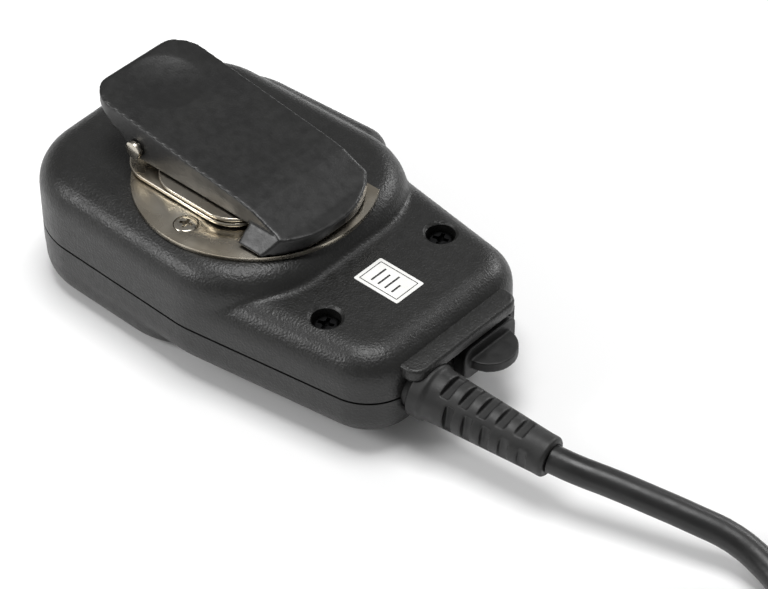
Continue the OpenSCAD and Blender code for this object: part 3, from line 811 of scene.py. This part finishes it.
def make_tongue():
    """Lower leaf with the two ears that hold the hinge pin."""
    tongue = bevel(prism("clip_tongue_steel", stadium(-24, 11), PLATE_Z + 0.4, PLATE_Z + 1.3), 0.3, 4)
    for low, high in ((9, 10), (-12, -11)):
        ear = [(PIN_X + 2.6 * math.cos(math.radians(a)), PIN_Z + 2.6 * math.sin(math.radians(a)))
               for a in range(0, 181, 10)]
        outline = ear + [(PIN_X - 3.5, PLATE_Z + 1.3), (PIN_X - 3.5, PLATE_Z + 0.6),
                         (PIN_X + 3.5, PLATE_Z + 0.6), (PIN_X + 3.5, PLATE_Z + 1.3)]
        weld(tongue, bevel(prism("ear", outline, low, high, "XZ"), 0.2, 2, 60))
    cut(tongue, rod("hole", (0, 0, 30), 3.05, 5), rod("pin", (PIN_X, -20, PIN_Z), 1.2, 40, (0, 1, 0)),
        *[rod("hole", (1, y, 30), 1, 5) for y in LEAF_SCREWS])
    return place(smooth(tongue), "clip_base", "steel_plate", STEEL, "clip_tongue")


def make_leaf():
    """Upper leaf, a spring plate."""
    leaf = prism("spring_leaf_steel", stadium(-15.5, 11), LEAF_Z, LEAF_Z + 0.9)
    leaf = bevel(leaf, 0.3, 4)
    cut(leaf, rod("hole", (0, 0, 30), 3.05, 5), *[rod("hole", (1, y, 30), 1, 5) for y in LEAF_SCREWS])
    return place(smooth(leaf), "clip_base", "steel_plate", STEEL, "spring_leaf")


def make_leaf_screws():
    """Two small screws that hold the leaves together."""
    screws = join("leaf_screws_nickel", [
        cross_screw("leaf_screw", (1, y, LEAF_Z + 0.9), 1.9, 0.9, 1, 2.2, 2.0) for y in LEAF_SCREWS])
    return place(smooth(screws, 35), "clip_base", "steel_plate", NICKEL, "leaf_screws")


def make_pin():
    """Hinge pin with a flat head at each end."""
    end = CLIP_HALF + 1.4
    profile = [(0, -end), (1.6, -end), (1.9, -end + 0.15), (2, -end + 0.4), (2, -end + 1), (1.2, -end + 1),
               (1.2, end - 1), (2, end - 1), (2, end - 0.4), (1.9, end - 0.15), (1.6, end), (0, end)]
    pin = lathe("hinge_pin_steel", profile, (PIN_X, CLIP_Y, PIN_Z), (0, 1, 0))
    return place(smooth(pin, 40), "clip_base", "steel_plate", NICKEL, "hinge_pin")


def make_spring():
    """Torsion spring: close turns of 0.6 mm wire round the pin."""
    curve = bpy.data.curves.new("clip_spring_wire", "CURVE")
    curve.dimensions = "3D"
    spline = curve.splines.new("POLY")
    turns, steps = 18, 16
    points = [(PIN_X + 1.65 * math.cos(2 * math.pi * i / steps), CLIP_Y - 6.6 + 13.2 * i / (turns * steps),
               PIN_Z + 1.65 * math.sin(2 * math.pi * i / steps)) for i in range(turns * steps + 1)]
    spline.points.add(len(points) - 1)
    for point, at in zip(spline.points, points):
        point.co = (*(Vector(at) * MM), 1)
    curve.bevel_depth = 0.32 * MM
    curve.bevel_resolution = 2
    curve.use_fill_caps = True
    spring = bpy.data.objects.new("clip_spring_wire", curve)
    bpy.context.collection.objects.link(spring)
    pick(spring)
    bpy.ops.object.convert(target="MESH")
    return place(smooth(bpy.context.object, 60), "clip_base", "steel_plate", NICKEL, "clip_spring")


def lever_top(x):
    """Height of the lever's top above the plate."""
    return 8.9 - 0.134 * x


def lever_plan(inset):
    """Outline of the lever in plan: rounded corners at the thumb end, and a round front to the jaw."""
    reach, half = JAW_R - inset, CLIP_HALF - inset
    low, high = math.asin((1 - half) / reach), math.asin((1 + half) / reach)
    outline = []
    for k in range(33):
        angle = low + (high - low) * k / 32
        outline.append((3 + reach * math.cos(angle), CLIP_Y - 1 + reach * math.sin(angle)))
    for side, start in ((1, 90), (-1, 180)):
        for k in range(17):
            angle = math.radians(start + 90 * k / 16)
            outline.append((-26.9 + (7 - inset) * math.cos(angle),
                            CLIP_Y + side * (CLIP_HALF - 7) + (7 - inset) * math.sin(angle)))
    return prism("plan", outline, PLATE_Z - 1, PLATE_Z + 20)


def jaw_slice(middle, low, high, z):
    """Thin slice of the jaw's skirt between two edges."""
    start, end = math.asin((low - middle) / JAW_R), math.asin((high - middle) / JAW_R)
    outline = [(JAW_X, high), (JAW_X, low)]
    for k in range(33):
        angle = start + (end - start) * k / 32
        outline.append((3 + JAW_R * math.cos(angle), middle + JAW_R * math.sin(angle)))
    return prism("slice", outline, z, z + 0.05)


def side_view(name, outline):
    """Side outline above the plate, pulled out across the clip."""
    return prism(name, [(x, PLATE_Z + z) for x, z in outline], -30, 30, "XZ")


def make_lever():
    """Lever cover: crowned top with a thumb dish, a dip behind the jaw's lip, and skirts down its sides."""
    side = [(-33.9, lever_top(-33.9) - 0.7), (-33.1, lever_top(-33.1)), (9, lever_top(9)), (13, 6.9),
            (17.5, 5), (21, 3.7), (24.6, 3.2), (24.6, 1.2), (23.9, 0.6), (JAW_X, 0.6), (12, 3), (-14, 3),
            (-16, 2.9), (PIN_X, 2.9), (-22, 3.8), (-24, 6.5), (-27, 7.9), (-29, 9.7), (-33.3, 10.5)]
    lever = side_view("clip_lever_cover", side)
    skirt = hull("skirt", [jaw_slice(-3, -18.2, 13.4, PLATE_Z + 0.6),
                           jaw_slice(CLIP_Y - 1, CLIP_Y - CLIP_HALF, CLIP_Y + CLIP_HALF, PLATE_Z + 4)])
    combine(lever, weld(lever_plan(0), skirt), "INTERSECT")
    hollow = side_view("hollow", [(-26.4, -1), (-26.4, 8.6), (-24, lever_top(-24) - 2.4),
                                  (8, lever_top(8) - 2.4), (12, 4.9), (17, 3.1), (21.5, 1.5), (21.5, -1)])
    combine(hollow, lever_plan(1.8), "INTERSECT")
    ball_r = (DISH_R ** 2 + DISH_DEPTH ** 2) / (2 * DISH_DEPTH)
    up = Vector((0.1328, 0, 0.9911)) * (ball_r - DISH_DEPTH)
    cut(lever, hollow, ball("dish", Vector((DISH_X, CLIP_Y, PLATE_Z + lever_top(DISH_X))) + up, ball_r),
        rod("pin", (PIN_X, -20, PIN_Z), 1.25, 40, (0, 1, 0)))
    mould(lever, 0.3, 8)
    return place(lever, "lever", "clip_black", CLIP, "clip_lever")


make_swivel_plate()
make_plate_screws()
make_rivet()
make_tongue()
make_leaf()
make_leaf_screws()
make_pin()
make_spring()
make_lever()

# ---------------------------------------------------------------- cord end


def make_strain_relief():
    """Ribbed strain relief: a tapered tube with staggered slots, a collar at the case and a lip."""
    profile = [(CORD_R, -5.8), (5.8, -5.8), (5.8, -4), (5, -4), (5, 0.4), (6.2, 0.6), (6.2, 3.4), (5.7, 4),
               (5.5, 6), (4.3, BOOT_LEN - 2.4), (4.3, BOOT_LEN - 0.5), (3.8, BOOT_LEN),
               (CORD_R, BOOT_LEN)]
    boot = lathe("strain_relief_boot", profile, steps=96)
    tools = []
    for i in range(5):
        for turn, z in ((0, 6.6 + 4.2 * i), (180, 6.6 + 4.2 * i), (90, 8.7 + 4.2 * i), (270, 8.7 + 4.2 * i)):
            slot = prism("slot", rounded_box(3.7, 8, -3.4, 3.4, 0.6, 4), z, z + 2)
            slot.data.transform(Matrix.Rotation(math.radians(turn), 4, "Z"))
            tools.append(slot)
    cut(boot, join("slots", tools))
    mould(boot, 0.22, 3)
    turn = Euler((0, math.radians(94), math.radians(6)), "XYZ").to_matrix().to_4x4()
    boot.data.transform(Matrix.Translation(along_cord(0) * MM) @ turn)
    return place(boot, "body", "rubber_black", RUBBER, "strain_relief")


def make_jack_cap():
    """Cap over the earphone jack: a soft bar with a half-round pull tab."""
    cap = hull("jack_cap_rubber", [rod("end", (54.4, y, JACK_Z + z), 2.2, 3, (1, 0, 0), sides=48)
                                   for y in (1, 12.2) for z in (-1.6, 1.6)])
    tab = prism("tab", [(57, JACK_Y - 6)] + [(57 + 6 * math.cos(math.radians(a)),
                JACK_Y + 6 * math.sin(math.radians(a))) for a in range(-90, 91, 6)], 12.6, 14.8)
    weld(cap, tab)
    cut(cap, rod("recess", (54, JACK_Y, JACK_Z), 2.4, 1.6, (1, 0, 0)))
    mould(cap, 0.18, 4)
    return place(cap, "jack_cap", "rubber_black", RUBBER, "jack_cap")


make_strain_relief()
make_jack_cap()

# ---------------------------------------------------------------- coil tie and plug


def make_tie():
    """Hook-and-loop strap round the turns, its end lapped over itself."""
    x, y = COIL_AT[0] + COIL_R, COIL_AT[1]
    strap = prism("coil_tie_strap", rounded_box(x - 9.7, x + 9.7, 0, 12.8, 2.6), y - 3, y + 3, "XZ")
    cut(strap, prism("inside", rounded_box(x - 9.1, x + 9.1, 0.6, 12.2, 2), y - 4, y + 4, "XZ"))
    lap = prism("lap", rounded_box(x - 6.5, x + 5, 12.75, 13.3, 0.25), y - 2.7, y + 2.7, "XZ")
    return place(smooth(bevel(join("coil_tie_strap", [strap, lap]), 0.12, 2)), "body", "rubber_black", CLOTH,
                 "coil_tie")


def make_plug():
    """Two-pin plug: a moulded block with grip grooves, a ribbed sleeve, and two turned pins."""
    x, y, z = TAIL[-1]
    sleeve = lathe("plug_boot_sleeve", [
        (CORD_R, 0), (4, 0), (4.1, 1.6), (3.8, 1.9), (3.8, 2.9), (4.4, 3.2), (4.5, 4.4), (4.1, 4.7),
        (4.1, 5.7), (4.8, 6), (5, PLUG_BOOT), (0, PLUG_BOOT), (0, 4), (CORD_R, 4)], (x, y, z), (0, 1, 0))
    place(smooth(bevel(sleeve, 0.2, 2), 40), "body", "rubber_black", RUBBER, "plug_boot")
    front = y + PLUG_BOOT + PLUG_LEN
    section = rounded_box(x - 11, x + 11, z - 5.4, z + 5.4, 3, 10)
    body = prism("plug_body_shell", section, y + PLUG_BOOT, front, "XZ")
    for i in range(4):
        for side in (-1, 1):
            cut(body, rod("groove", (x + side * 11.2, y + 11.5 + 2.4 * i, z - 2.6), 0.7, 5.2, sides=24))
    mould(body, 0.25, 5)
    place(body, "body", "clip_black", CLIP, "plug_body")
    for name, node, side, radius, length in (("large_pin", "plug_pin_large", -1, 1.75, 10.6),
                                             ("small_pin", "plug_pin_small", 1, 1.25, 8.6)):
        profile = [(0, 0), (radius, 0), (radius, length * 0.55), (radius * 0.9, length * 0.57),
                   (radius * 0.9, length * 0.6), (radius, length * 0.62), (radius, length),
                   (radius * 0.75, length + 0.5), (radius * 0.85, length + 0.9), (radius * 0.5, length + 1.4),
                   (0, length + 1.4)]
        pin = lathe(name, profile, (x + side * PIN_OFFSET, front, z), (0, 1, 0))
        place(smooth(pin, 40), "body", "plug_nickel", NICKEL, node)


make_tie()
make_plug()

# ---------------------------------------------------------------- CAD nodes that keep their shape

KEPT = {"case_seal": RUBBER, "talk_switch": INNER, "switch_plunger": ACETAL, "lever_core": STEEL,
        "speaker_frame": ZINC, "speaker_magnet": FERRITE, "speaker_cone": PAPER, "speaker_gasket": RUBBER,
        "grille_cloth": CLOTH, "mic_capsule": ALUMINIUM, "mic_holder": RUBBER, "circuit_board": MASK,
        "board_parts": INNER, "board_screws": ZINC, "ear_jack": INNER, "cap_anchor": RUBBER,
        "cord_clamp": INNER, "cord_core": JACKET}
for node, finish in KEPT.items():
    nodes[node].data.materials.clear()
    nodes[node].data.materials.append(finish)

# ---------------------------------------------------------------- floor and light


def make_floor():
    """Wide sheet of paper, a hair below the object's lowest point."""
    bpy.ops.object.select_all(action="DESELECT")
    bpy.ops.mesh.primitive_plane_add(size=6, location=(0, 0, -0.0002))
    floor = settle("floor")
    floor.data.materials.append(studio_floor())


def soft_box(name, at, aim, size, power):
    """Rectangular lamp that faces a point."""
    light = bpy.data.objects.new(name, bpy.data.lights.new(name, "AREA"))
    bpy.context.collection.objects.link(light)
    light.data.shape = "RECTANGLE"
    light.data.size, light.data.size_y = size
    light.data.energy = power
    light.location = at
    light.rotation_euler = (Vector(aim) - Vector(at)).to_track_quat("-Z", "Y").to_euler()


def make_light():
    """Dim white surround, a lamp overhead, and two low ones for the edges."""
    world = bpy.data.worlds.new("studio")
    bpy.context.scene.world = world
    world.use_nodes = True
    world.node_tree.nodes["Background"].inputs["Color"].default_value = colour("#ffffff")
    world.node_tree.nodes["Background"].inputs["Strength"].default_value = 0.3
    bpy.context.scene.view_settings.view_transform = "Standard"
    soft_box("overhead", (0, 0, 1.3), (0, 0, 0), (0.6, 0.6), 12)
    soft_box("front left", (-0.5, -0.67, 0.56), (0, 0, 0.02), (0.3, 0.3), 4)
    soft_box("back", (0.1, 0.85, 0.5), (0, 0, 0.02), (0.4, 0.2), 3)


make_floor()
make_light()
